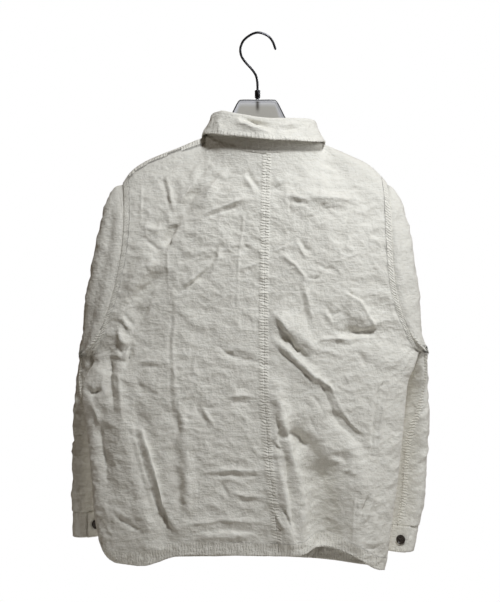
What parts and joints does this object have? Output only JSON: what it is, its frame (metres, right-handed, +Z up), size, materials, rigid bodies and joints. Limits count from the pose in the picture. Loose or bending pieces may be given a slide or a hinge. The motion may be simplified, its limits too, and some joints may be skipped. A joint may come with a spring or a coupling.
{
  "type": "chore jacket on a hanger",
  "caption": "Boxy ecru cotton chore jacket, buttoned, with fold-over collar, patch pockets and buttoned cuffs, on a moulded hanger with a swivel hook.",
  "frame": {"origin": "inside the top of the hanger's hook, where a rail carries it", "axes": "+Z up, +Y from the jacket's back to its front, +X to the wearer's right side"},
  "size_m": [0.6077, 0.2452, 0.8881],
  "materials": {
    "cotton": "washed slubby cotton, ecru",
    "button": "dark brown moulded buttons",
    "hook_steel": "dark plated wire",
    "hanger_plastic": "smoke grey moulded plastic"
  },
  "bodies": {
    "root": {"back_left": "cotton", "back_right": "cotton", "front_left": "cotton", "front_right": "cotton", "sleeve_upper_left": "cotton", "sleeve_under_left": "cotton", "sleeve_upper_right": "cotton", "sleeve_under_right": "cotton", "cuff_left": "cotton", "cuff_right": "cotton", "collar": "cotton", "pocket_hip_left": "cotton", "pocket_hip_right": "cotton", "pocket_chest_left": "cotton", "button_front_1": "button", "button_front_2": "button", "button_front_3": "button", "button_front_4": "button", "button_front_5": "button", "button_cuff_left": "button", "button_cuff_right": "button", "hanger_hook": "hook_steel", "hanger_ferrule": "hook_steel", "hanger_body": "hanger_plastic"}
  },
  "joints": []
}
